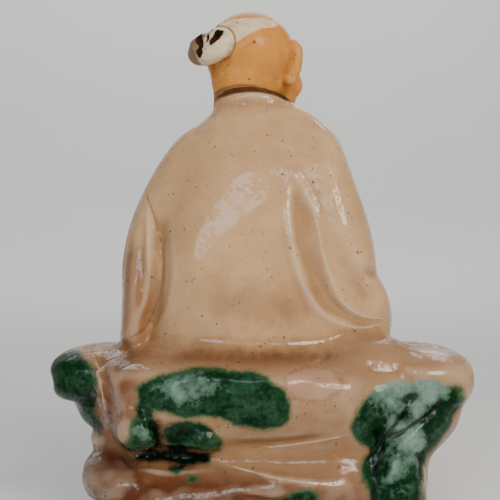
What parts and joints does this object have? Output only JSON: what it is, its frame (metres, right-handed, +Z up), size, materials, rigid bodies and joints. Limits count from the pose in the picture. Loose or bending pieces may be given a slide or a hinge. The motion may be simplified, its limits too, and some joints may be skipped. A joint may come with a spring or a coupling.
{
  "type": "monk figurine",
  "caption": "Glazed ceramic figurine of an old sage seated on a rock, head turned and bowed, hair in a coiled bun, cream robe, green splashes on the rock.",
  "frame": {"origin": "middle of the flat underside's bounding box, on the surface the figurine stands on", "axes": "+Z up, the sage's chest faces -Y and the pictured back faces +Y, the sage's left is +X"},
  "size_m": [0.1243, 0.0831, 0.1502],
  "materials": {
    "glaze": "glossy cream glaze with green, ochre and brown areas over buff clay"
  },
  "bodies": {
    "root": {"monk_figurine": "glaze"}
  },
  "joints": []
}
